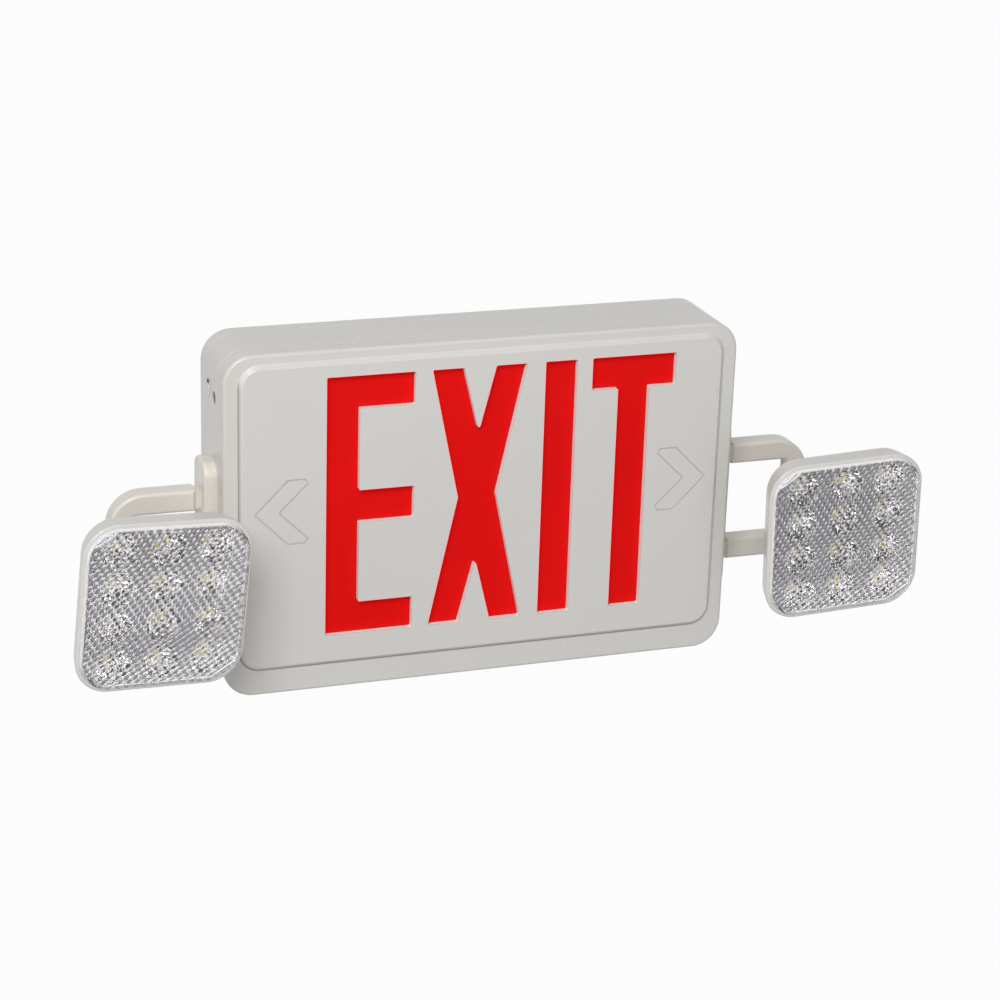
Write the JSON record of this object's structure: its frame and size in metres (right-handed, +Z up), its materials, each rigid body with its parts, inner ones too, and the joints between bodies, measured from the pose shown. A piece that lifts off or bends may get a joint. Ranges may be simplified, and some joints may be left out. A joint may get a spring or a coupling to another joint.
{
  "type": "emergency exit light",
  "caption": "Wall emergency exit sign with a red stencil legend, a framed face plate and a square lamp head on a looped arm at each side that pans, tilts and turns",
  "frame": {"origin": "on the wall face, midway between the two box screws, which is the centre of the housing's outline", "axes": "+Z up; +X to the right of someone who reads the sign, along its longest side; the sign faces -Y and the wall is on the +Y side, so +Y points into the wall along the box screws"},
  "size_m": [0.4959, 0.111, 0.2012],
  "materials": {
    "housing_white": "fine satin moulding",
    "face_white": "fine satin moulding",
    "legend_red": "tinted translucent sheet, smooth",
    "diffuser": "opal translucent sheet",
    "board_white": "white solder mask",
    "board_green": "green solder mask",
    "led_white": "resin",
    "led_yellow": "yellow phosphor under clear resin",
    "indicator_red": "tinted resin, unlit",
    "button_grey": "satin",
    "black_plastic": "satin",
    "terminal_green": "satin",
    "battery_sleeve": "shrink sleeve",
    "core_steel": "varnished laminations",
    "can_aluminium": "sleeved can",
    "steel": "zinc plated",
    "arm_white": "fine satin moulding, slightly warm",
    "lamp_white": "fine satin moulding",
    "lens_clear": "clear moulded plastic with fine prisms inside",
    "reflector_chrome": "vacuum metallised"
  },
  "bodies": {
    "housing": {"back_plate": "housing_white", "housing_frame": "housing_white", "front_frame": "housing_white", "face_plate": "face_white", "legend_panel": "legend_red", "diffuser_sheet": "diffuser", "light_strips": "board_white", "strip_leds": "led_white", "side_board": "board_green", "test_switch": "black_plastic", "status_led": "indicator_red", "circuit_board": "board_green", "board_screws": "steel", "transformer": "core_steel", "capacitors": "can_aluminium", "relay": "black_plastic", "terminal_block": "terminal_green", "battery_pack": "battery_sleeve", "battery_strap": "steel", "mounting_pad_left": "arm_white", "pad_screws_left": "steel", "lamp_arm_left": "arm_white", "mounting_pad_right": "arm_white", "pad_screws_right": "steel", "lamp_arm_right": "arm_white"},
    "button": {"test_button": "button_grey"},
    "collar_left": {"swivel_collar_left": "arm_white", "collar_cap_left": "arm_white", "clamp_screws_left": "steel", "tilt_pin_left": "steel"},
    "stem_left": {"lamp_stem_left": "arm_white", "stem_retainer_left": "steel"},
    "lamp_left": {"lamp_housing_left": "lamp_white", "lamp_lens_left": "lens_clear", "lamp_reflector_left": "reflector_chrome", "lamp_board_left": "board_white", "lamp_leds_left": "led_yellow"},
    "collar_right": {"swivel_collar_right": "arm_white", "collar_cap_right": "arm_white", "clamp_screws_right": "steel", "tilt_pin_right": "steel"},
    "stem_right": {"lamp_stem_right": "arm_white", "stem_retainer_right": "steel"},
    "lamp_right": {"lamp_housing_right": "lamp_white", "lamp_lens_right": "lens_clear", "lamp_reflector_right": "reflector_chrome", "lamp_board_right": "board_white", "lamp_leds_right": "led_yellow"}
  },
  "joints": [
    {"name": "test_press", "type": "slide", "parent": "housing", "child": "button", "axis": [1, 0, 0], "range_m": [0, 0.0018], "stiffness_N_per_m": 300},
    {"name": "pan_left", "type": "hinge", "parent": "housing", "child": "collar_left", "pos_m": [-0.2045, -0.026, -0.0172], "axis": [0, 0, 1], "range_deg": [-77.7, 2.3]},
    {"name": "tilt_left", "type": "hinge", "parent": "collar_left", "child": "stem_left", "pos_m": [-0.20182, -0.04582, -0.0172], "axis": [0.991, 0.134, 0], "range_deg": [-42.2, 37.8]},
    {"name": "turn_left", "type": "hinge", "parent": "stem_left", "child": "lamp_left", "pos_m": [-0.1978, -0.07553, -0.01835], "axis": [0.1339, -0.9903, -0.0384], "range_deg": [-90, 90]},
    {"name": "pan_right", "type": "hinge", "parent": "housing", "child": "collar_right", "pos_m": [0.2045, -0.026, -0.015], "axis": [0, 0, 1], "range_deg": [-8.9, 71.1]},
    {"name": "tilt_right", "type": "hinge", "parent": "collar_right", "child": "stem_right", "pos_m": [0.20412, -0.046, -0.015], "axis": [0.9998, -0.0192, 0], "range_deg": [-43.2, 36.8]},
    {"name": "turn_right", "type": "hinge", "parent": "stem_right", "child": "lamp_right", "pos_m": [0.20354, -0.07594, -0.01667], "axis": [-0.0192, -0.9983, -0.0558], "range_deg": [-90, 90]}
  ]
}
